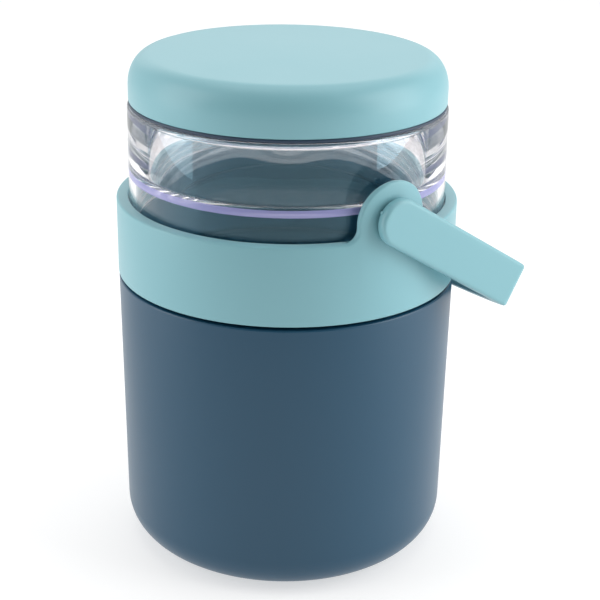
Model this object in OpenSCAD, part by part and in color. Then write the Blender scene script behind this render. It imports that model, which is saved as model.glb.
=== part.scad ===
// Two-compartment food jar with a screw collar and a swinging carry handle.
// Units are millimetres. +Z is up, the jar stands on Z = 0 and its axis is the
// Z axis. The handle hangs to the right and behind, on a level axis through
// the collar's two ears.

/* [Which piece] */
// piece to draw: all, or the name of one node

/* [Lower pot] */
// how far the pot's wall stands inside the collar's outside
pot_inset = 0.15; // [0:0.05:1]
// taper of the pot's wall from the collar down to the base rounding
pot_taper = 0.85; // [0.3:0.05:3]
// height of the pot's shoulder above the table
shoulder_z = 84.4; // [50:0.1:160]
// radius of the rounding between wall and base
base_round = 11.3; // [4:0.1:20]
// thickness of the pot's wall
pot_wall = 2.2; // [1.5:0.1:4]
// thickness of the pot's floor
pot_floor = 3.0; // [1.5:0.1:6]
// height of the threaded neck above the shoulder
neck_h = 15.6; // [10:0.1:30]
// thickness of the neck's wall
neck_wall = 2.2; // [1.5:0.1:4]

/* [Screw thread] */
// rise of the thread in one full turn
thread_lead = 10.0; // [6:0.5:16]
// number of thread ridges side by side
thread_starts = 2; // [1:1:2]
// height of a thread ridge above its wall
ridge_h = 1.0; // [0.6:0.1:1.6]
// how much thicker a ridge is at its root than at its tip
ridge_taper = 1.0; // [0.4:0.1:1.6]
// arc of each ridge on the neck, in degrees
neck_ridge_arc = 150; // [60:6:174]
// arc of each ridge inside the collar, in degrees
collar_ridge_arc = 108; // [60:6:150]
// height of the lowest neck ridge above the shoulder, at its lower end
ridge_lift = 5.6; // [3:0.1:12]

/* [Collar and ears] */
// outside radius of the collar
collar_r = 50.0; // [35:0.05:81]
// height of the collar, without its ears
collar_h = 22.8; // [14:0.1:40]
// open joint between the pot's shoulder and the collar
collar_gap = 1.0; // [0.5:0.1:3]
// thickness of the collar's wall
collar_wall = 1.6; // [1.2:0.1:3]
// thickness of the collar's inner lip, from top to underside
lip_t = 2.2; // [1.5:0.1:4]
// how far the inner lip lies below the collar's top
lip_drop = 0.3; // [0.1:0.1:1]
// radius of the collar's rounded top edge
rim_round = 0.9; // [0.5:0.1:1.6]
// radius of an ear's round outline about its pin
ear_r = 10.95; // [9:0.05:18]
// thickness of an ear
ear_t = 1.8; // [1.5:0.1:3]
// radius of the hollow curve where an ear meets the collar
ear_foot = 4.0; // [2:0.1:8]
// height of the pin axis above the collar's top
pin_above_rim = 4.9; // [2:0.1:12]
// turn of the pin axis, clockwise from straight ahead
pin_azimuth = 35.6; // [0:0.1:90]

/* [Clear cup] */
// thickness of the cup's wall
cup_wall = 2.2; // [1.5:0.1:4]
// height of the cup's rim above the collar's top
cup_above_rim = 27.3; // [15:0.1:60]
// height of the cup's floor above the collar's top, at its underside
floor_above_rim = 7.0; // [3:0.1:14]
// thickness of the cup's floor
cup_floor = 2.1; // [1.5:0.1:4]
// how far the cup's foot flange stands out under the collar's lip
flange_w = 0.8; // [0.5:0.1:2]
// thickness of the cup's foot flange
flange_t = 2.0; // [1.2:0.1:4]
// radius of the shallow moulding mark in the middle of the cup's floor
gate_r = 2.75; // [1.5:0.05:4]
// depth of that mark
gate_depth = 0.5; // [0.2:0.05:1]

/* [Handle] */
// width of the handle's strap
strap_w = 13.3; // [9:0.1:20]
// thickness of the handle's strap
strap_t = 3.2; // [2.4:0.1:5]
// distance from the pin axis to the end of each straight arm
arm_len = 51.6; // [44:0.1:80]
// radius of the outside bend between arm and crosspiece
bend_r = 3.0; // [3:0.1:10]
// angle of the hanging handle below level
hang_deg = 31.9; // [20:0.1:40]
// radius of the inside bend between arm and crosspiece
bend_in_r = 2.0; // [1:0.1:8]

/* [Pivot pins] */
// radius of a pin's shaft
pin_r = 3.2; // [2:0.1:4]
// radius of a pin's inner head
pin_head_r = 5.8; // [4:0.1:7]
// thickness of a pin's inner head
pin_head_t = 1.1; // [0.8:0.1:1.6]
// plastic left between a pin's end and the handle's outer face
pin_cover = 1.2; // [0.8:0.1:2]

/* [Lid] */
// how far the lid's side stands inside the cup's outside
lid_inset = 0.45; // [0:0.05:2]
// height of the lid's side and top rounding, without its crown
lid_h = 13.2; // [9:0.1:24]
// rise of the lid's slightly domed top
lid_crown = 0.8; // [0.3:0.1:3]
// inward width of the lid's top rounding
lid_round_w = 6.5; // [3:0.1:10]
// height of the lid's top rounding
lid_round_h = 8.6; // [4:0.1:10]
// thickness of the lid's wall
lid_wall = 2.0; // [1.4:0.1:4]
// how far the liner's plug reaches down into the cup
plug_depth = 2.6; // [1.6:0.1:8]
// thickness of the liner's plate and plug
liner_t = 1.6; // [1:0.1:3]
// thickness of the lid's seal between lid and cup rim
lid_seal_t = 0.9; // [0.6:0.1:2]

/* [Fits] */
// gap between pieces that turn or slide past each other
slide_gap = 0.3; // [0.3:0.05:0.6]
// radial gap of a pin's shaft in its ear
pin_gap = 0.05; // [0.01:0.01:0.1]
// gap between the handle's arms and the ears
arm_gap = 0.4; // [0.3:0.05:0.8]
// gap between the hanging handle and the pot's wall
hang_gap = 0.35; // [0.3:0.05:0.8]
// gap between a pin's head and the cup
head_clear = 0.4; // [0.3:0.05:0.8]
// thickness of the seal between the neck and the cup's foot
neck_seal_t = 1.2; // [0.8:0.1:2]

/* [Hidden] */
$fn = 96;
// smallest overlap that joins two solids of one piece
eps = 0.01;
// turn of one step along a thread ridge
ridge_step = 6;
// how far an ear's hollow foot dips below the rim, so that it ends in it
foot_dip = 0.08;
// steps in the lid's top rounding and in the collar's rim
round_steps = 15;
rim_steps = 6;
// depth of a ridge's root inside its wall
ridge_bite = 0.5;
neck_top = shoulder_z + neck_h;
collar_z = shoulder_z + collar_gap;
collar_top = collar_z + collar_h;
collar_bore = collar_r - collar_wall;
lip_z = collar_top - lip_t;
pot_r = collar_r - pot_inset;
pot_low_r = pot_r - pot_taper;
neck_r = collar_bore - ridge_h - slide_gap;
neck_bore = neck_r - neck_wall;
flange_r = neck_r;
cup_r = flange_r - flange_w;
lip_r = cup_r + slide_gap;
lid_r = cup_r - lid_inset;
pin_z = collar_top + pin_above_rim;
ear_top = pin_z + ear_r + 1;
cup_foot = neck_top + neck_seal_t;
cup_in = cup_r - cup_wall;
cup_rim = collar_top + cup_above_rim;
floor_z = collar_top + floor_above_rim;
floor_top = floor_z + cup_floor;
flange_top = lip_z - slide_gap;
ridge_pitch = thread_lead / thread_starts;
// root and tip of two neighbouring ridges fill the pitch but for the gaps
ridge_root = ridge_pitch / 2 - slide_gap + ridge_taper / 2;
ridge_tip = ridge_root - ridge_taper;
// height from the pot's inner wall top to the neck's bore: a 45 degree step
step_h = pot_r - pot_wall - neck_bore;
step_z = shoulder_z - pot_wall - step_h;
ridge_z = shoulder_z + ridge_lift;
// the collar's ridges lie centred below the neck's ridges, half a pitch down
collar_ridge_start = (neck_ridge_arc - collar_ridge_arc) / 2;
collar_ridge_z = ridge_z - ridge_pitch / 2 + thread_lead * collar_ridge_start / 360;
arm_in = collar_r + arm_gap;
arm_out = arm_in + strap_t;
// distance from the pin axis to the middle of the crosspiece, outside:
// the strap's lower inner edge lies on the pot's wall when it hangs
bow_len = (collar_r + hang_gap + strap_w / 2 * sin(hang_deg)) / cos(hang_deg) + strap_t;
bow = bow_len - arm_len;
bow_r = (pow(arm_out, 2) + pow(bow, 2)) / (2 * bow);
head_out = lip_r + head_clear + pin_head_t;
gate_ball = (gate_r * gate_r + gate_depth * gate_depth) / (2 * gate_depth);
lid_z = cup_rim + lid_seal_t;
lid_top = lid_z + lid_h;
plug_r = cup_in - slide_gap;

pot_blue = [0.24, 0.36, 0.45];
mint = [0.53, 0.76, 0.77];
navy = [0.20, 0.27, 0.36];
white = [0.92, 0.93, 0.93];
clear = [0.84, 0.84, 0.90, 0.35];

pot();
neck_seal();
cup();
collar();
handle();
pivot_pin_front();
pivot_pin_rear();
lid_shell();
lid_liner();
lid_seal();

// Puts what follows in the pins' frame: X along the pin axis towards the
// front ear, Y level towards the side where the handle hangs.
module at_pins() {
    translate([0, 0, pin_z]) rotate([0, 0, pin_azimuth - 90]) children();
}

// Half section of a ring between two radii and two heights.
module band(r_in, r_out, z0, z1) {
    translate([r_in, z0]) square([r_out - r_in, z1 - z0]);
}

// Half section of a drafted pot with a rounded lower edge.
module pot_half(r_low, r_high, z0, z1, fillet) {
    translate([0, z0]) square([r_low - fillet, fillet + eps]);
    intersection() {
        translate([r_low - fillet, z0 + fillet]) circle(fillet);
        translate([0, z0]) square([r_low, fillet + eps]);
    }
    polygon([[0, z0 + fillet], [r_low, z0 + fillet], [r_high, z1], [0, z1]]);
}

// One helical thread ridge as a closed band of quads.
// side = 1 stands out from a neck, side = -1 stands into a collar.
module ridge(wall_r, side, z0, arc) {
    steps = round(arc / ridge_step);
    root_r = wall_r - side * ridge_bite;
    tip_r = wall_r + side * ridge_h;
    corners = [for (i = [0:steps])
        let (a = i * ridge_step,
             z = z0 + thread_lead * a / 360,
             ends = i == 0 || i == steps,
             t = ends ? wall_r - side * ridge_bite / 2 : tip_r)
        each [[root_r * cos(a), root_r * sin(a), z - ridge_root / 2],
              [t * cos(a), t * sin(a), z - ridge_tip / 2],
              [t * cos(a), t * sin(a), z + ridge_tip / 2],
              [root_r * cos(a), root_r * sin(a), z + ridge_root / 2]]];
    sides = [for (i = [0:steps - 1]) for (k = [0:3])
        let (p = 4 * i + k, q = 4 * i + (k + 1) % 4)
        side > 0 ? [p, q, q + 4, p + 4] : [p + 4, q + 4, q, p]];
    last = 4 * steps;
    caps = side > 0
        ? [[3, 2, 1, 0], [last, last + 1, last + 2, last + 3]]
        : [[0, 1, 2, 3], [last + 3, last + 2, last + 1, last]];
    polyhedron(corners, concat(sides, caps), convexity = 4);
}

module pot() {
    color(pot_blue) {
        rotate_extrude() difference() {
            union() {
                pot_half(pot_low_r, pot_r, 0, shoulder_z, base_round);
                band(0, neck_r, shoulder_z - eps, neck_top);
            }
            pot_half(pot_low_r - pot_wall, pot_r - pot_wall, pot_floor, step_z,
                     base_round - pot_wall);
            translate([0, step_z - eps]) polygon([[0, 0], [pot_r - pot_wall, 0],
                [neck_bore, step_h], [0, step_h]]);
            band(0, neck_bore, step_z, neck_top + eps);
        }
        for (k = [0:thread_starts - 1]) rotate([0, 0, k * 360 / thread_starts])
            ridge(neck_r, 1, ridge_z, neck_ridge_arc);
    }
}

module neck_seal() {
    color(white) rotate_extrude() band(neck_bore + slide_gap, neck_r - slide_gap, neck_top, cup_foot);
}

module cup() {
    color(clear) rotate_extrude() {
        difference() {
            union() {
                band(cup_in, cup_r, cup_foot, cup_rim - cup_wall / 2);
                translate([cup_r - cup_wall / 2, cup_rim - cup_wall / 2]) circle(cup_wall / 2);
                band(0, cup_in + eps, floor_z, floor_top);
                band(cup_in, flange_r, flange_top - flange_t, flange_top);
            }
            translate([0, floor_top - gate_depth + gate_ball]) circle(gate_ball);
        }
    }
}

// Outline of one ear, drawn about its pin, with its two hollow feet.
module ear_outline() {
    foot_dy = ear_foot - pin_above_rim - foot_dip;
    foot_dx = sqrt(pow(ear_r + ear_foot, 2) - foot_dy * foot_dy);
    root = pin_above_rim + lip_t;
    circle(ear_r);
    difference() {
        translate([-foot_dx, -root])
            square([2 * foot_dx, root + foot_dy * ear_r / (ear_r + ear_foot)]);
        for (s = [-1, 1]) translate([s * foot_dx, foot_dy]) circle(ear_foot);
    }
}

// Quarter circle of points from straight up to straight out.
function quarter(r, z, round_r) =
    [for (a = [90:-90 / rim_steps:0]) [r + round_r * cos(a), z + round_r * sin(a)]];

// Everything above the collar's rounded rim, out past its outside.
module above_rim() {
    rotate_extrude() polygon(concat([[0, ear_top + 1], [0, collar_top]],
        quarter(collar_r - rim_round, collar_top - rim_round, rim_round),
        [[collar_r + 1, collar_top - rim_round], [collar_r + 1, ear_top + 1]]));
}

module collar() {
    color(mint) {
        difference() {
            rotate_extrude() difference() {
                union() {
                    band(lip_r, collar_r, collar_z, collar_top - lip_drop);
                    band(collar_r - ear_t, collar_r, collar_z, ear_top);
                }
                band(0, collar_bore, collar_z - 1, lip_z);
            }
            difference() {
                above_rim();
                at_pins() rotate([90, 0, 90])
                    linear_extrude(2 * arm_out, center = true) ear_outline();
            }
            // pin holes and the seats of the pin heads
            at_pins() rotate([0, 90, 0]) {
                cylinder(r = pin_r + pin_gap, h = 2 * arm_in, center = true);
                cylinder(r = pin_head_r + slide_gap, h = 2 * (head_out + pin_gap), center = true);
            }
        }
        for (k = [0:thread_starts - 1])
            rotate([0, 0, k * 360 / thread_starts + collar_ridge_start])
                ridge(collar_bore, -1, collar_ridge_z, collar_ridge_arc);
    }
}

// Area inside the bow of the handle, in its own plane, with rounded corners.
// The pin axis is Y = 0.
module bow_area(half_w, arc_r, low, fillet) {
    arc_y = bow_len - bow_r;
    fillet_x = half_w - fillet;
    fillet_y = arc_y + sqrt(pow(arc_r - fillet, 2) - fillet_x * fillet_x);
    reach = arc_r / (arc_r - fillet);
    difference() {
        intersection() {
            translate([-half_w, low]) square([2 * half_w, bow_len + strap_w - low]);
            translate([0, arc_y]) circle(arc_r, $fn = 180);
        }
        for (s = [-1, 1]) polygon([[s * half_w, fillet_y],
            [s * fillet_x * reach, arc_y + (fillet_y - arc_y) * reach],
            [s * (half_w + 1), bow_len + 1], [s * (half_w + 1), fillet_y]]);
    }
    for (s = [-1, 1]) translate([s * fillet_x, fillet_y]) circle(fillet);
}

module handle() {
    color(mint) at_pins() rotate([-hang_deg, 0, 0]) difference() {
        intersection() {
            linear_extrude(strap_w, center = true) difference() {
                bow_area(arm_out, bow_r, -strap_w, bend_r);
                bow_area(arm_in, bow_r - strap_t, -2 * strap_w, bend_in_r);
            }
            // each arm ends in a round hub about the pin
            union() {
                rotate([0, 90, 0]) cylinder(d = strap_w, h = 2 * arm_out, center = true);
                translate([-arm_out, 0, -strap_w / 2]) cube([2 * arm_out, bow_len, strap_w]);
            }
        }
        rotate([0, 90, 0]) cylinder(r = pin_r, h = 2 * (arm_out - pin_cover), center = true);
    }
}

// Snap pin: a head inside the ear, a shaft through it into the handle.
module pivot_pin() {
    rotate([0, 90, 0]) {
        translate([0, 0, head_out - pin_head_t]) cylinder(r = pin_head_r, h = pin_head_t);
        translate([0, 0, head_out - eps]) cylinder(r = pin_r, h = arm_out - pin_cover - head_out + eps);
    }
}

module pivot_pin_front() {
    color(mint) at_pins() pivot_pin();
}

module pivot_pin_rear() {
    color(mint) at_pins() rotate([0, 0, 180]) pivot_pin();
}

// Half section of the lid's outside, or of its hollow when it is shrunk.
module lid_half(r, z0, z1, round_w, round_h, crown) {
    translate([0, z0]) square([r, z1 - z0 - round_h]);
    translate([0, z0]) square([r - round_w, z1 - z0]);
    translate([r - round_w, z1 - round_h]) polygon(concat([[0, 0]],
        [for (a = [0:90 / round_steps:90]) [round_w * cos(a), round_h * sin(a)]]));
    dome_r = (pow(r - round_w, 2) + crown * crown) / (2 * crown);
    intersection() {
        translate([0, z1 + crown - dome_r]) circle(dome_r, $fn = 360);
        translate([0, z1 - 1]) square([r - round_w, crown + 2]);
    }
}

module lid_shell() {
    color(mint) rotate_extrude() difference() {
        lid_half(lid_r, lid_z, lid_top, lid_round_w, lid_round_h, lid_crown);
        translate([0, -eps]) lid_half(lid_r - lid_wall, lid_z, lid_top - lid_wall,
                                      lid_round_w - lid_wall / 2, lid_round_h - lid_wall / 2, lid_crown);
    }
}

module lid_liner() {
    color(clear) rotate_extrude() {
        band(0, lid_r - lid_wall, lid_z, lid_z + liner_t);
        band(plug_r - liner_t, plug_r, cup_rim - plug_depth, lid_z + eps);
    }
}

module lid_seal() {
    color(navy) rotate_extrude() band(plug_r, lid_r, cup_rim, lid_z);
}
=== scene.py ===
# %% [markdown]
# # A two-compartment food jar
# The jar is a dark blue pot, a clear cup that a mint collar holds on top of it,
# a push-on lid and a strap handle that swings on the collar's two ears. The
# imported CAD part is the fixed frame: it gives the bodies that move, and each
# piece modelled here stands in for one of its nodes. We load it first and list
# its nodes.

import math

import bmesh
import bpy
from mathutils import Matrix, Vector


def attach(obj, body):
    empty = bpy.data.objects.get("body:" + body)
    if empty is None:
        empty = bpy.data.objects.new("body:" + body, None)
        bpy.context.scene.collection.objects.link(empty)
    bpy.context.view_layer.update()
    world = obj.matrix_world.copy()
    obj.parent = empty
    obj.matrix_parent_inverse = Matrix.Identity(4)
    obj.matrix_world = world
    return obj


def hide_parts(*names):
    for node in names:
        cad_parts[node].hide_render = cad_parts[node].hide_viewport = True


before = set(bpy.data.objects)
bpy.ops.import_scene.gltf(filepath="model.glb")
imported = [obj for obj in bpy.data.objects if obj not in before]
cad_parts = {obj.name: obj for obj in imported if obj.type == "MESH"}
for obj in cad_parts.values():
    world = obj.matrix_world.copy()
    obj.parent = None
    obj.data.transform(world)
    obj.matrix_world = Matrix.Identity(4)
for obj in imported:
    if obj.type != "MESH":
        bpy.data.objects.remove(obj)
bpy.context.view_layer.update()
print("nodes:", sorted(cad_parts))

# %% [markdown]
# ## Sizes
# The real jar is about 100 mm across. Its parts are thought of in millimetres,
# so the script keeps millimetres in its numbers and turns them into metres
# where a vertex is made. The heights below are the levels where two pieces meet.

# %% Levels and radii in millimetres
MM = 0.001
SHOULDER = 84.4
NECK_TOP = 100.0
NECK_R = 47.1
NECK_BORE = 44.9
COLLAR_R = 50.0
COLLAR_Z = 85.4
COLLAR_TOP = 108.2
COLLAR_BORE = 48.4
LIP_R = 46.6
LIP_Z = 106.0
CUP_R = 46.3
CUP_IN = 44.1
CUP_FOOT = 101.2
CUP_RIM = 135.5
FLOOR_Z = 115.2
FLOOR_TOP = 117.3
LID_Z = 136.4
LID_TOP = 149.6
LID_R = 45.85
PIN_Z = 113.1
PIN_TURN = math.radians(35.6)
HANG = math.radians(31.9)
print(f"jar: {2 * COLLAR_R:.0f} mm across, lid edge at {LID_TOP:.1f} mm")

# %% [markdown]
# ## The pins' own frame
# The handle's pin axis is level but turned 36 degrees from straight ahead. A
# matrix that puts local X along that axis lets the ears, pins and handle be
# modelled square and then moved into place once.

# %% Pin frame
at_pins = Matrix.Translation((0, 0, PIN_Z * MM)) @ Matrix.Rotation(
    PIN_TURN - math.pi / 2, 4, "Z")
print("pin axis:", [round(c, 3) for c in at_pins.col[0][:3]])


# %% [markdown]
# ## From a bmesh to a piece
# Every piece ends the same way: its mesh is stored in place with its object at
# the origin, smooth shading with sharp corners kept, a material, a body to ride
# on and the CAD node that it replaces. One helper does this, so no piece can
# miss a step.

# %% Helper: finish a piece
def piece(name, bm, material, body, node, sharp=38):
    mesh = bpy.data.meshes.new(name)
    bm.to_mesh(mesh)
    bm.free()
    mesh.shade_smooth()
    mesh.set_sharp_from_angle(angle=math.radians(sharp))
    mesh.materials.append(material)
    obj = bpy.data.objects.new(name, mesh)
    bpy.context.scene.collection.objects.link(obj)
    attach(obj, body)
    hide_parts(node)
    print(f"{name}: {len(mesh.vertices)} vertices, {len(mesh.polygons)} faces")


# %% [markdown]
# ## Turned shapes
# A pot, a cup and a lid are surfaces of revolution, so each is drawn as a half
# section and spun. The section is a chain of corners, each with how far its
# rounding starts from the corner; a vertex bevel rounds it before the spin.
# Drawing the whole closed section, inside and outside, gives every wall its
# true thickness, which clear plastic needs to bend light properly.

# %% Helper: spin a rounded half section
def turned(corners, steps=192, closed=True, stretch=1.0):
    bm = bmesh.new()
    verts = [bm.verts.new((r * MM, 0, z * MM / stretch)) for r, z, *_ in corners]
    pairs = list(zip(verts, verts[1:]))
    if closed:
        pairs.append((verts[-1], verts[0]))
    for a, b in pairs:
        bm.edges.new((a, b))
    for v, corner in zip(verts, corners):
        if len(corner) > 2 and corner[2] > 0:
            bmesh.ops.bevel(bm, geom=[v], offset=corner[2] * MM, offset_type="OFFSET",
                            segments=max(4, round(4 * math.sqrt(corner[2]))),
                            profile=0.5, affect="VERTICES", material=-1)
    bmesh.ops.scale(bm, vec=(1, 1, stretch), verts=bm.verts)
    bmesh.ops.spin(bm, geom=bm.verts[:] + bm.edges[:], cent=(0, 0, 0), axis=(0, 0, 1),
                   angle=2 * math.pi, steps=steps, use_merge=True)
    bmesh.ops.remove_doubles(bm, verts=bm.verts, dist=1e-6)
    bmesh.ops.recalc_face_normals(bm, faces=bm.faces)
    return bm


# %% [markdown]
# ## Thread ridges
# A screw thread is a small section swept round and up at once. Spin can lift
# the section at every step, so the same operator that turns a pot makes a
# thread. A thread ridge starts a little inside its wall, so no gap shows.

# %% Helper: add thread ridges to a mesh
LEAD = 10.0
STARTS = 2
SUNK, PROUD = 0.4, 1.0
ROOT_HALF, TIP_HALF = 1.35, 0.85


def add_ridges(bm, wall_r, side, z, start_deg, arc_deg):
    steps = round(arc_deg / 3)
    root, tip = wall_r - side * SUNK, wall_r + side * PROUD
    rise = LEAD * arc_deg / 360 / steps
    for k in range(STARTS):
        turn = Matrix.Rotation(math.radians(start_deg + 180 * k), 3, "Z")
        section = [(root, -ROOT_HALF), (tip, -TIP_HALF), (tip, TIP_HALF), (root, ROOT_HALF)]
        verts = [bm.verts.new(turn @ Vector((r * MM, 0, (z + h) * MM))) for r, h in section]
        face = bm.faces.new(verts)
        bmesh.ops.spin(bm, geom=[face], cent=(0, 0, 0), axis=(0, 0, 1),
                       dvec=(0, 0, rise * MM), angle=math.radians(arc_deg), steps=steps)
        island = set(verts[0].link_faces)
        front = list(island)
        while front:
            near = {g for f in front for v in f.verts for g in v.link_faces} - island
            island |= near
            front = list(near)
        bmesh.ops.recalc_face_normals(bm, faces=list(island))


# %% [markdown]
# ## Satin plastic
# The pot, collar, lid and handle are moulded polypropylene: one colour right
# through, with a fine spark-eroded skin that spreads highlights. A Principled
# shader with medium roughness does it. A fine noise bump breaks the highlight
# up a little, and a broad, faint noise keeps the roughness from being too even.

# %% Helper: satin moulded plastic
ROUGHNESS_SPREAD = 0.035
GRAIN_DEPTH = 0.00001


def satin(name, colour, roughness):
    mat = bpy.data.materials.new(name)
    mat.use_nodes = True
    nodes, links = mat.node_tree.nodes, mat.node_tree.links
    shader = nodes["Principled BSDF"]
    shader.inputs["Base Color"].default_value = (*colour, 1)
    shader.inputs["IOR"].default_value = 1.49
    coords = nodes.new("ShaderNodeTexCoord")
    broad = nodes.new("ShaderNodeTexNoise")
    broad.inputs["Scale"].default_value = 35.0
    broad.inputs["Detail"].default_value = 3.0
    links.new(coords.outputs["Object"], broad.inputs["Vector"])
    spread = nodes.new("ShaderNodeMapRange")
    spread.inputs["To Min"].default_value = roughness - ROUGHNESS_SPREAD
    spread.inputs["To Max"].default_value = roughness + ROUGHNESS_SPREAD
    links.new(broad.outputs["Fac"], spread.inputs["Value"])
    links.new(spread.outputs["Result"], shader.inputs["Roughness"])
    fine = nodes.new("ShaderNodeTexNoise")
    fine.inputs["Scale"].default_value = 2200.0
    fine.inputs["Detail"].default_value = 2.0
    links.new(coords.outputs["Object"], fine.inputs["Vector"])
    bump = nodes.new("ShaderNodeBump")
    bump.inputs["Distance"].default_value = GRAIN_DEPTH
    bump.inputs["Strength"].default_value = 0.35
    links.new(fine.outputs["Fac"], bump.inputs["Height"])
    links.new(bump.outputs["Normal"], shader.inputs["Normal"])
    print(f"{name}: roughness about {roughness}")
    return mat


# %% Satin finishes
mint = satin("mint_satin", (0.225, 0.475, 0.530), 0.38)
petrol = satin("petrol_blue_satin", (0.010, 0.070, 0.132), 0.34)
navy = satin("navy_silicone", (0.020, 0.045, 0.085), 0.45)
silicone = satin("milky_silicone", (0.62, 0.64, 0.66), 0.5)

# %% [markdown]
# ## Clear plastic
# The cup is clear and polished with the faintest lilac cast. A fully
# transmissive Principled shader bends light as the real wall does. Light from
# lamps would be stopped by it, because they're sampled in straight lines, so
# for shadow rays the wall is plain transparent. Its head-on reflections lean
# towards teal, which keeps them from greying the dark inside that is seen behind
# them. The thick floor disc shows as a lilac band round the wall, where the eye
# looks along the plastic: the band is light carried along the disc and tinted by
# the plastic's cast, and here it is painted light, painted by height on the outer
# wall. The faint gate mark in the middle of the floor is a dimple; the dark
# outline of its edge is painted shade, a lilac ring painted by its distance from
# the axis.

# %% Clear plastic with the lilac floor edge
# Radius and half width of the painted shade ring round the moulding dimple.
DIMPLE_RIM_R, DIMPLE_RIM_HALF = 2.5, 0.35
clear = bpy.data.materials.new("clear_plastic")
clear.use_nodes = True
nodes, links = clear.node_tree.nodes, clear.node_tree.links
glass = nodes["Principled BSDF"]
glass.inputs["Base Color"].default_value = (0.985, 0.982, 0.995, 1)
glass.inputs["Roughness"].default_value = 0.0
glass.inputs["IOR"].default_value = 1.49
glass.inputs["Transmission Weight"].default_value = 1.0
glass.inputs["Specular Tint"].default_value = (0.6, 1.1, 1.35, 1)
through = nodes.new("ShaderNodeBsdfTransparent")
through.inputs["Color"].default_value = (0.96, 0.96, 0.98, 1)
path = nodes.new("ShaderNodeLightPath")
lamp_mix = nodes.new("ShaderNodeMixShader")
links.new(path.outputs["Is Shadow Ray"], lamp_mix.inputs["Fac"])
links.new(glass.outputs["BSDF"], lamp_mix.inputs[1])
links.new(through.outputs["BSDF"], lamp_mix.inputs[2])
coords = nodes.new("ShaderNodeTexCoord")
place = nodes.new("ShaderNodeSeparateXYZ")
links.new(coords.outputs["Object"], place.inputs["Vector"])
# Painted light: the lilac band at the floor disc's height on the outer wall, standing in for
# light carried along the disc.
at_floor = nodes.new("ShaderNodeMath")
at_floor.operation = "COMPARE"
at_floor.inputs[1].default_value = (FLOOR_Z + FLOOR_TOP) / 2 * MM
at_floor.inputs[2].default_value = (FLOOR_TOP - FLOOR_Z) / 2 * MM
links.new(place.outputs["Z"], at_floor.inputs[0])
flat = nodes.new("ShaderNodeVectorMath")
flat.operation = "MULTIPLY"
flat.inputs[1].default_value = (1, 1, 0)
links.new(coords.outputs["Object"], flat.inputs[0])
reach = nodes.new("ShaderNodeVectorMath")
reach.operation = "LENGTH"
links.new(flat.outputs["Vector"], reach.inputs[0])
outer = nodes.new("ShaderNodeMath")
outer.operation = "GREATER_THAN"
outer.inputs[1].default_value = (CUP_R - 0.3) * MM
links.new(reach.outputs["Value"], outer.inputs[0])
band = nodes.new("ShaderNodeMath")
band.operation = "MULTIPLY"
links.new(at_floor.outputs["Value"], band.inputs[0])
links.new(outer.outputs["Value"], band.inputs[1])
# Painted shade: a lilac ring round the moulding dimple, standing in for the dark outline of the
# dimple's edge.
dimple_rim_shade = nodes.new("ShaderNodeMath")
dimple_rim_shade.operation = "COMPARE"
dimple_rim_shade.inputs[1].default_value = DIMPLE_RIM_R * MM
dimple_rim_shade.inputs[2].default_value = DIMPLE_RIM_HALF * MM
links.new(reach.outputs["Value"], dimple_rim_shade.inputs[0])
painted = nodes.new("ShaderNodeMath")
painted.operation = "MAXIMUM"
links.new(band.outputs["Value"], painted.inputs[0])
links.new(dimple_rim_shade.outputs["Value"], painted.inputs[1])
share = nodes.new("ShaderNodeMath")
share.operation = "MULTIPLY"
share.inputs[1].default_value = 0.8
links.new(painted.outputs["Value"], share.inputs[0])
# One lilac shader paints both the painted light of the band and the painted shade of the ring.
painted_light_shader = nodes.new("ShaderNodeBsdfPrincipled")
painted_light_shader.inputs["Base Color"].default_value = (0.33, 0.33, 0.66, 1)
painted_light_shader.inputs["Roughness"].default_value = 0.1
painted_light_mix = nodes.new("ShaderNodeMixShader")
links.new(share.outputs["Value"], painted_light_mix.inputs["Fac"])
links.new(lamp_mix.outputs["Shader"], painted_light_mix.inputs[1])
links.new(painted_light_shader.outputs["BSDF"], painted_light_mix.inputs[2])
links.new(painted_light_mix.outputs["Shader"], nodes["Material Output"].inputs["Surface"])
print("clear plastic: band from", FLOOR_Z, "to", FLOOR_TOP, "mm")

# %% [markdown]
# ## The pot
# The lower pot is one moulding: a slightly tapered wall, a large rounding down
# to the flat base, a shoulder that the collar stops above, and a neck with two
# thread ridges. It is one closed section, spun, with the ridges added.

# %% Pot
POT_RIDGE_Z = SHOULDER + 5.6
pot_bm = turned([
    (0, 0), (48.87, 0, 11.3), (49.85, SHOULDER, 0.5), (NECK_R, SHOULDER, 0.3),
    (NECK_R, NECK_TOP, 0.5), (NECK_BORE, NECK_TOP, 0.5), (NECK_BORE, 82.2, 1.0),
    (47.65, 79.45, 1.5), (46.7, 3.0, 9.1), (0, 3.0)], closed=False)
add_ridges(pot_bm, NECK_R, 1, POT_RIDGE_Z, 0, 150)
piece("pot_body", pot_bm, petrol, "base", "pot")

# %% [markdown]
# ## The neck seal
# A soft ring lies between the pot's neck and the cup's foot and keeps food from
# leaking. It is squeezed flat, so a plain ring with soft corners is enough.

# %% Neck seal
piece("neck_seal_ring", turned([
    (45.2, NECK_TOP, 0.3), (46.8, NECK_TOP, 0.3), (46.8, CUP_FOOT, 0.3),
    (45.2, CUP_FOOT, 0.3)], steps=128), silicone, "cup_unit", "neck_seal")

# %% [markdown]
# ## The clear cup
# The cup has a wall, a rounded rim, a floor part way up and a skirt below it
# that ends in a small flange under the collar's lip. The moulding mark in the
# middle of the floor is a shallow dimple, made by lowering the last corner.

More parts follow.
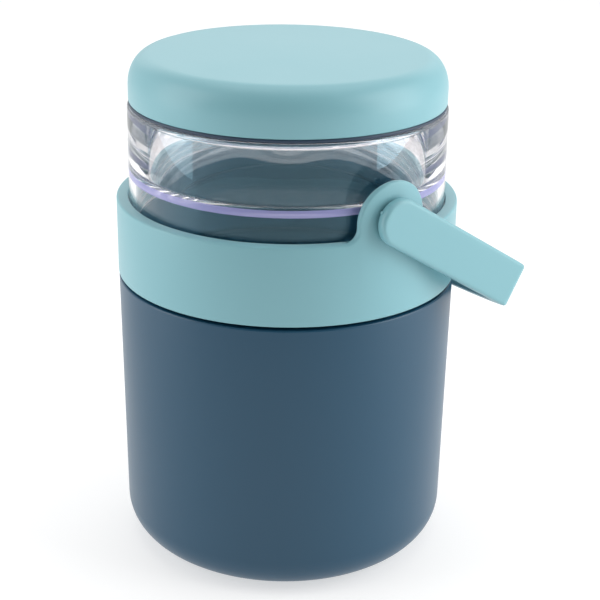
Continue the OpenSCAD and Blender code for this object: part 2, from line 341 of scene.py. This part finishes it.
# %% Cup
piece("clear_cup", turned([
    (0, FLOOR_Z), (CUP_IN, FLOOR_Z, 0.6), (CUP_IN, CUP_FOOT, 0.4), (CUP_R, CUP_FOOT, 0.4),
    (CUP_R, 103.7, 0.2), (47.1, 103.7, 0.25), (47.1, 105.7, 0.25), (CUP_R, 105.7, 0.2),
    (CUP_R, CUP_RIM, 1.0), (CUP_IN, CUP_RIM, 1.0), (CUP_IN, FLOOR_TOP, 0.9),
    (2.75, FLOOR_TOP, 0.15), (1.9, FLOOR_TOP - 0.3, 0.5), (0, FLOOR_TOP - 0.45)],
    steps=256, closed=False), clear, "cup_unit", "cup")


# %% [markdown]
# ## The collar and its ears
# The collar is a ring whose wall rises into two ears that carry the handle. It
# is easiest to spin the ring as tall as the ears and cut away what the ears
# don't need. The cutter is a disc with the ears' outline left out of it, so the
# hollow curves at their feet come with the outline. The cut edges are rounded
# afterwards with one edge bevel, as the tool's edge is in the real mould.

# %% Helpers: boolean cut and a prism from an outline
def as_object(bm, name):
    mesh = bpy.data.meshes.new(name)
    bm.to_mesh(mesh)
    bm.free()
    obj = bpy.data.objects.new(name, mesh)
    bpy.context.scene.collection.objects.link(obj)
    return obj


def cut(target, tool, operation="DIFFERENCE"):
    mod = target.modifiers.new("cut", "BOOLEAN")
    mod.operation, mod.object, mod.solver = operation, tool, "EXACT"
    graph = bpy.context.evaluated_depsgraph_get()
    mesh = bpy.data.meshes.new_from_object(target.evaluated_get(graph))
    target.modifiers.clear()
    target.data = mesh
    bpy.data.objects.remove(tool)
    return target


# %% Ear outline as a prism along the pin axis
EAR_R, EAR_T, EAR_FOOT = 10.95, 1.8, 4.0
PIN_UP = PIN_Z - COLLAR_TOP
HALF_SPAN, BELOW_FOOT = 60, 4


def ear_prism():
    foot_y = EAR_FOOT - PIN_UP
    foot_x = math.sqrt((EAR_R + EAR_FOOT) ** 2 - foot_y ** 2)
    tangent = math.atan2(foot_y, foot_x)
    bm = bmesh.new()
    first = bm.verts.new((0, EAR_R * math.cos(tangent) * MM, EAR_R * math.sin(tangent) * MM))
    bmesh.ops.spin(bm, geom=[first], cent=(0, 0, 0), axis=(1, 0, 0),
                   angle=math.pi / 2 - tangent, steps=36)
    low = bm.verts.new((0, foot_x * MM, (foot_y - EAR_FOOT) * MM))
    bmesh.ops.spin(bm, geom=[low], cent=(0, foot_x * MM, foot_y * MM), axis=(1, 0, 0),
                   angle=-(math.pi / 2 - tangent), steps=14)
    bmesh.ops.remove_doubles(bm, verts=bm.verts, dist=1e-6)
    base = bm.verts.new((0, foot_x * MM, (foot_y - EAR_FOOT - BELOW_FOOT) * MM))
    bm.verts.ensure_lookup_table()
    bm.edges.new((low, base))
    bmesh.ops.mirror(bm, geom=bm.verts[:] + bm.edges[:], axis="Y", merge_dist=1e-6)
    bmesh.ops.remove_doubles(bm, verts=bm.verts, dist=1e-6)
    ends = [v for v in bm.verts if len(v.link_edges) == 1]
    bm.edges.new(ends)
    face = bmesh.ops.contextual_create(bm, geom=bm.edges[:])["faces"]
    bmesh.ops.translate(bm, vec=(-HALF_SPAN * MM, 0, 0), verts=bm.verts)
    grown = bmesh.ops.extrude_face_region(bm, geom=face)
    bmesh.ops.translate(bm, vec=(2 * HALF_SPAN * MM, 0, 0),
                        verts=[v for v in grown["geom"] if isinstance(v, bmesh.types.BMVert)])
    bmesh.ops.recalc_face_normals(bm, faces=bm.faces)
    bmesh.ops.transform(bm, matrix=at_pins, verts=bm.verts)
    return bm


def rod(r, x_low, x_high, steps=48):
    bm = bmesh.new()
    bmesh.ops.create_cone(bm, cap_ends=True, segments=steps, radius1=r * MM, radius2=r * MM,
                          depth=(x_high - x_low) * MM)
    bmesh.ops.rotate(bm, cent=(0, 0, 0), matrix=Matrix.Rotation(math.pi / 2, 3, "Y"),
                     verts=bm.verts)
    bmesh.ops.translate(bm, vec=((x_low + x_high) / 2 * MM, 0, 0), verts=bm.verts)
    bmesh.ops.transform(bm, matrix=at_pins, verts=bm.verts)
    return bm


# %% Collar
EAR_TOP = PIN_Z + EAR_R + 1
RIM_ROUND = 0.6
CUTTER_R = 53
PIN_HOLE_R, HOLE_REACH = 3.25, 56
HEAD_SEAT_R, HEAD_SEAT_X = 6.1, 48.15
SHARP_HOLE_R = 6.6
COLLAR_RIDGE_Z = 88.083
tall = as_object(turned([
    (COLLAR_BORE, COLLAR_Z, 0.35), (COLLAR_R, COLLAR_Z, 0.45), (COLLAR_R, EAR_TOP),
    (COLLAR_R - EAR_T, EAR_TOP), (COLLAR_R - EAR_T, COLLAR_TOP), (LIP_R, COLLAR_TOP, 0.3),
    (LIP_R, LIP_Z, 0.3), (COLLAR_BORE, LIP_Z, 0.4)], steps=240), "tall")
disc = as_object(turned([
    (0, COLLAR_TOP), (CUTTER_R, COLLAR_TOP), (CUTTER_R, EAR_TOP + 2), (0, EAR_TOP + 2)],
    closed=False, steps=72), "disc")
cut(disc, as_object(ear_prism(), "ears"))
cut(tall, disc)
cut(tall, as_object(rod(PIN_HOLE_R, -HOLE_REACH, HOLE_REACH), "pin_holes"))
cut(tall, as_object(rod(HEAD_SEAT_R, -HEAD_SEAT_X, HEAD_SEAT_X), "head_seats"))
collar_bm = bmesh.new()
collar_bm.from_mesh(tall.data)
bpy.data.objects.remove(tall)
bmesh.ops.remove_doubles(collar_bm, verts=collar_bm.verts, dist=0.08 * MM)


def rim_edge(e):
    if len(e.link_faces) != 2 or e.calc_face_angle() < math.radians(40):
        return False
    local = [at_pins.inverted() @ v.co for v in e.verts]
    on_hole = all(math.hypot(p.y, p.z) < SHARP_HOLE_R * MM for p in local)
    return not on_hole and all(v.co.z > (COLLAR_TOP - 0.05) * MM for v in e.verts)


rim = [e for e in collar_bm.edges if rim_edge(e)]
bmesh.ops.bevel(collar_bm, geom=rim, offset=RIM_ROUND * MM, offset_type="OFFSET", segments=4,
                profile=0.5, affect="EDGES", clamp_overlap=False, material=-1)
add_ridges(collar_bm, COLLAR_BORE, -1, COLLAR_RIDGE_Z, 21, 108)
piece("screw_collar", collar_bm, mint, "collar_unit", "collar", sharp=30)
print("rim edges rounded:", len(rim))

# %% [markdown]
# ## The handle
# The handle is a flat strap bent into a U with a bowed crosspiece, so that it
# lies against the pot when it hangs and leaves room for fingers over the lid.
# Each arm ends in a round hub. Its outer and inner faces are two strips: a row
# of points across the strap is spun back into the round hub, extruded along the
# arm, spun round the bend, spun along the bow and mirrored. The row next to the
# rim leaves room for the rounded edge. Bridging the strips' borders makes the
# sides. They rise a little to a parting line half way, and a tiny nib is left
# on the hub where the plastic went in.

# %% Helper: one face of the strap
STRAP_W, STRAP_T, ARM_IN, ARM_LEN = 13.3, 3.2, 50.4, 51.6
ARM_OUT = ARM_IN + STRAP_T
RIM_ROW = 1.6
BOW_LEN = (COLLAR_R + 0.35 + STRAP_W / 2 * math.sin(HANG)) / math.cos(HANG) + STRAP_T
BOW = BOW_LEN - ARM_LEN
BOW_R = (ARM_OUT ** 2 + BOW ** 2) / (2 * BOW)


def strap_face(half_w, arc_r, bend):
    arc_y = BOW_LEN - BOW_R
    bend_x = half_w - bend
    bend_y = arc_y + math.sqrt((arc_r - bend) ** 2 - bend_x ** 2)
    turn = math.atan2(bend_y - arc_y, bend_x)
    bm = bmesh.new()
    row = [bm.verts.new((half_w * MM, 0, z * MM)) for z in
           (-STRAP_W / 2, RIM_ROW - STRAP_W / 2, 0, STRAP_W / 2 - RIM_ROW, STRAP_W / 2)]
    line = [bm.edges.new(pair) for pair in zip(row, row[1:])]
    bmesh.ops.spin(bm, geom=[line[-1]], cent=(0, 0, 0), axis=(1, 0, 0), angle=math.pi, steps=28)
    bmesh.ops.remove_doubles(bm, verts=bm.verts, dist=2e-6)
    inner_r = (STRAP_W / 2 - RIM_ROW) * MM
    arc = [v for v in bm.verts if v.co.y < 1e-6 and abs(v.co.yz.length - inner_r) < 1e-6]
    arc.sort(key=lambda v: math.atan2(v.co.z, -v.co.y))
    bm.faces.new(arc + [v for v in bm.verts if v.co.yz.length < 1e-6])
    line = [e for e in bm.edges if all(abs(v.co.y) < 1e-6 for v in e.verts)]
    got = bmesh.ops.extrude_edge_only(bm, edges=line)["geom"]
    for v in (g for g in got if isinstance(g, bmesh.types.BMVert)):
        v.co.y = bend_y * MM
    line = [g for g in got if isinstance(g, bmesh.types.BMEdge) and
            all(abs(v.co.y - bend_y * MM) < 1e-6 for v in g.verts)]
    for angle, centre, steps in ((turn, (bend_x, bend_y), 10),
                                 (math.pi / 2 - turn, (0, arc_y), 30)):
        got = bmesh.ops.spin(bm, geom=line, cent=(centre[0] * MM, centre[1] * MM, 0),
                             axis=(0, 0, 1), angle=angle, steps=steps)["geom_last"]
        line = [g for g in got if isinstance(g, bmesh.types.BMEdge)]
    bmesh.ops.mirror(bm, geom=bm.verts[:] + bm.edges[:] + bm.faces[:], axis="X",
                     merge_dist=2e-6)
    bmesh.ops.remove_doubles(bm, verts=bm.verts, dist=2e-6)
    return bm


# %% Handle
PARTING = 0.12
EDGE_ROUND = 0.9
NIB_R, NIB_X = 0.5, 51.3
strap = strap_face(ARM_OUT, BOW_R, 3.0)
inner = strap_face(ARM_IN, BOW_R - STRAP_T, 2.0)
spare = bpy.data.meshes.new("spare")
inner.to_mesh(spare)
inner.free()
strap.from_mesh(spare)
bpy.data.meshes.remove(spare)
border = [e for e in strap.edges if len(e.link_faces) == 1]
border_verts = {v for e in border for v in e.verts}
bmesh.ops.bridge_loops(strap, edges=border)
bmesh.ops.recalc_face_normals(strap, faces=strap.faces)
across = [e for e in strap.edges if e not in border and
          e.verts[0] in border_verts and e.verts[1] in border_verts and
          all(len(f.verts) == 4 and all(v in border_verts for v in f.verts)
              for f in e.link_faces)]
halved = bmesh.ops.subdivide_edges(strap, edges=across, cuts=1, use_grid_fill=True)
strap.normal_update()
middle = [g for g in halved["geom_inner"] if isinstance(g, bmesh.types.BMVert)]
for v, out in [(v, v.normal.copy()) for v in middle]:
    v.co += out * PARTING * MM
print("parting line points:", len(middle))
corners = [e for e in strap.edges if e.calc_face_angle() > math.radians(60)]
bmesh.ops.bevel(strap, geom=corners, offset=EDGE_ROUND * MM, offset_type="OFFSET",
                segments=4, profile=0.5, affect="EDGES", clamp_overlap=False, material=-1)
print("strap edges rounded:", len(corners))
bmesh.ops.create_uvsphere(strap, u_segments=12, v_segments=8, radius=NIB_R * MM,
                          matrix=Matrix.Translation((NIB_X * MM, -STRAP_W / 2 * MM, 0)))
bmesh.ops.transform(strap, matrix=at_pins @ Matrix.Rotation(-HANG, 4, "X"), verts=strap.verts)
piece("strap_handle", strap, mint, "bail", "handle", sharp=35)

# %% [markdown]
# ## The snap pins
# Each arm turns on a short pin that is pushed through the ear from inside and
# snaps into the hub, which is why no rivet shows outside. Its flat round head
# can be seen through the clear cup. It is turned like the pots, then tipped
# onto the pin axis.

# %% Pins
HEAD_X, HEAD_R, HEAD_T = 48.1, 5.8, 1.1
SHAFT_R, PIN_END = 3.2, 52.4
for name, node, flip in (("pin_front", "pivot_pin_front", 0),
                         ("pin_rear", "pivot_pin_rear", math.pi)):
    pin_bm = turned([(0, HEAD_X - HEAD_T), (HEAD_R, HEAD_X - HEAD_T, 0.35),
                     (HEAD_R, HEAD_X, 0.1), (SHAFT_R, HEAD_X), (SHAFT_R, PIN_END, 0.3),
                     (0, PIN_END)],
                    closed=False, steps=64)
    bmesh.ops.transform(pin_bm, verts=pin_bm.verts, matrix=at_pins @ Matrix.Rotation(
        flip, 4, "Z") @ Matrix.Rotation(math.pi / 2, 4, "Y"))
    piece(name, pin_bm, mint, "bail", node)

# %% [markdown]
# ## The lid
# The lid is a hollow cap. Its side is nearly upright and turns into the top
# through a rounding that is taller than it is wide, so the section is rounded
# while it is squashed and then stretched back. The top rises by less than a
# millimetre towards the middle, which keeps it from looking cut with a knife.

# %% Lid shell
ROUND_WIDE, ROUND_TALL = 6.5, 8.6
STRETCH = ROUND_TALL / ROUND_WIDE
CROWN = 0.8
SIDE_T = 2.0
FLAT_R = LID_R - ROUND_WIDE
dome = [(FLAT_R * t, LID_TOP + CROWN * (1 - t * t)) for t in (0, 0.2, 0.4, 0.6, 0.8, 0.95)]
lid_bm = turned(
    dome + [(LID_R, LID_TOP, 6.45), (LID_R, LID_Z, 0.45), (LID_R - SIDE_T, LID_Z, 0.2),
            (LID_R - SIDE_T, LID_TOP - 2.0, 5.0), (0, LID_TOP - 1.4)],
    closed=False, steps=256, stretch=STRETCH)
piece("lid_cap", lid_bm, mint, "lid", "lid_shell")

# %% [markdown]
# ## Liner and seal of the lid
# A clear plate closes the lid's underside, and its short plug goes into the
# cup. A dark silicone ring lies on the cup's rim: it is the thin dark line
# between lid and cup.

# %% Lid liner and lid seal
PLUG_R = CUP_IN - 0.3
PLUG_T, PLUG_DEEP, PLATE_T = 1.6, 2.6, 1.6
piece("lid_liner_plate", turned([
    (0, LID_Z), (PLUG_R - PLUG_T, LID_Z, 0.4), (PLUG_R - PLUG_T, CUP_RIM - PLUG_DEEP, 0.4),
    (PLUG_R, CUP_RIM - PLUG_DEEP, 0.5), (PLUG_R, LID_Z), (LID_R - SIDE_T, LID_Z),
    (LID_R - SIDE_T, LID_Z + PLATE_T, 0.3), (0, LID_Z + PLATE_T)],
    closed=False), clear, "lid", "lid_liner")
piece("lid_seal_ring", turned([
    (PLUG_R, CUP_RIM, 0.1), (LID_R, CUP_RIM, 0.3), (LID_R, LID_Z, 0.3),
    (PLUG_R, LID_Z, 0.1)], steps=256), navy, "lid", "lid_seal")

# %% [markdown]
# ## Floor and light
# The jar stands on a plain pale floor. Large soft boxes stand on both sides and
# overhead, and nothing bright stands behind the camera, so the round walls are
# darkest in the middle and pale towards both edges.
# Light crosses many clear walls before it leaves the cup, so the limits on
# bounces are raised: with the usual ones the cup's sides turn black.

# %% Floor
FLOOR_HALF = 6
floor_bm = bmesh.new()
bmesh.ops.create_grid(floor_bm, x_segments=1, y_segments=1, size=FLOOR_HALF)
floor = as_object(floor_bm, "floor")
floor_mat = bpy.data.materials.new("pale_floor")
floor_mat.use_nodes = True
floor_shader = floor_mat.node_tree.nodes["Principled BSDF"]
floor_shader.inputs["Base Color"].default_value = (0.5, 0.5, 0.5, 1)
floor_shader.inputs["Emission Color"].default_value = (1, 1, 1, 1)
floor_shader.inputs["Emission Strength"].default_value = 0.58
floor_shader.inputs["Roughness"].default_value = 0.9
floor.data.materials.append(floor_mat)
print(f"floor: {2 * FLOOR_HALF} m square")


# %% Helper: a soft box that looks at a point
def soft_box(name, place, target, width, height, power):
    data = bpy.data.lights.new(name, "AREA")
    data.shape, data.size, data.size_y, data.energy = "RECTANGLE", width, height, power
    lamp = bpy.data.objects.new(name, data)
    lamp.location = place
    lamp.rotation_euler = (Vector(target) - Vector(place)).to_track_quat("-Z", "Y").to_euler()
    bpy.context.scene.collection.objects.link(lamp)


# %% Lights and world
soft_box("left_box", (-0.75, -0.10, 0.35), (0, 0, 0.07), 0.5, 0.8, 3.1)
soft_box("right_box", (0.75, -0.12, 0.38), (0, 0, 0.07), 0.6, 0.8, 5.1)
soft_box("top_box", (0.0, 0.15, 0.95), (0, 0, 0.1), 0.9, 0.7, 2.2)
soft_box("back_box", (0.0, 0.95, 0.62), (0, 0, 0.1), 1.4, 0.6, 1.75)
FRONT_LEVEL, BACK_LEVEL = 0.03, 0.75
FADE_FRONT, FADE_BACK = -0.8, 0.2
BOUNCES = 24
world = bpy.data.worlds.new("studio")
world.use_nodes = True
nodes, links = world.node_tree.nodes, world.node_tree.links
direction = nodes.new("ShaderNodeTexCoord")
bearing = nodes.new("ShaderNodeSeparateXYZ")
links.new(direction.outputs["Generated"], bearing.inputs["Vector"])
level = nodes.new("ShaderNodeMapRange")
level.inputs["From Min"].default_value = FADE_FRONT
level.inputs["From Max"].default_value = FADE_BACK
level.inputs["To Min"].default_value = FRONT_LEVEL
level.inputs["To Max"].default_value = BACK_LEVEL
links.new(bearing.outputs["Y"], level.inputs["Value"])
nodes["Background"].inputs["Color"].default_value = (1, 1, 1, 1)
links.new(level.outputs["Result"], nodes["Background"].inputs["Strength"])
bpy.context.scene.world = world
cycles = bpy.context.scene.cycles
cycles.max_bounces = cycles.glossy_bounces = BOUNCES
cycles.transmission_bounces = cycles.transparent_max_bounces = BOUNCES
bpy.context.scene.view_settings.view_transform = "Standard"

# %% [markdown]
# ## Camera
# The camera looks down at the jar at 22 degrees from 0.48 m away with an 88 mm
# lens. Its right, up and back directions are worked out from its yaw, pitch and
# roll and stored as the columns of its matrix.

# %% Camera
YAW, PITCH, ROLL = 0.0118, 0.3798, 0.0162
LENS, SENSOR, SIDE_SHIFT = 87.768, 36.0, -0.003
EYE = (0, -0.41293, 0.23848)
look = Vector((math.sin(YAW) * math.cos(PITCH), math.cos(YAW) * math.cos(PITCH),
               -math.sin(PITCH)))
sideways = Vector((math.cos(YAW), -math.sin(YAW), 0))
upright = sideways.cross(look)
right = math.cos(ROLL) * sideways + math.sin(ROLL) * upright
top = -math.sin(ROLL) * sideways + math.cos(ROLL) * upright
cam_data = bpy.data.cameras.new("camera")
cam_data.sensor_width = SENSOR
cam_data.lens = LENS
cam_data.shift_x = SIDE_SHIFT
camera = bpy.data.objects.new("camera", cam_data)
bpy.context.scene.collection.objects.link(camera)
axes = Matrix((right, top, -look)).transposed().to_4x4()
camera.matrix_world = Matrix.Translation(EYE) @ axes
bpy.context.scene.camera = camera
print(f"camera: {cam_data.lens:.1f} mm lens")
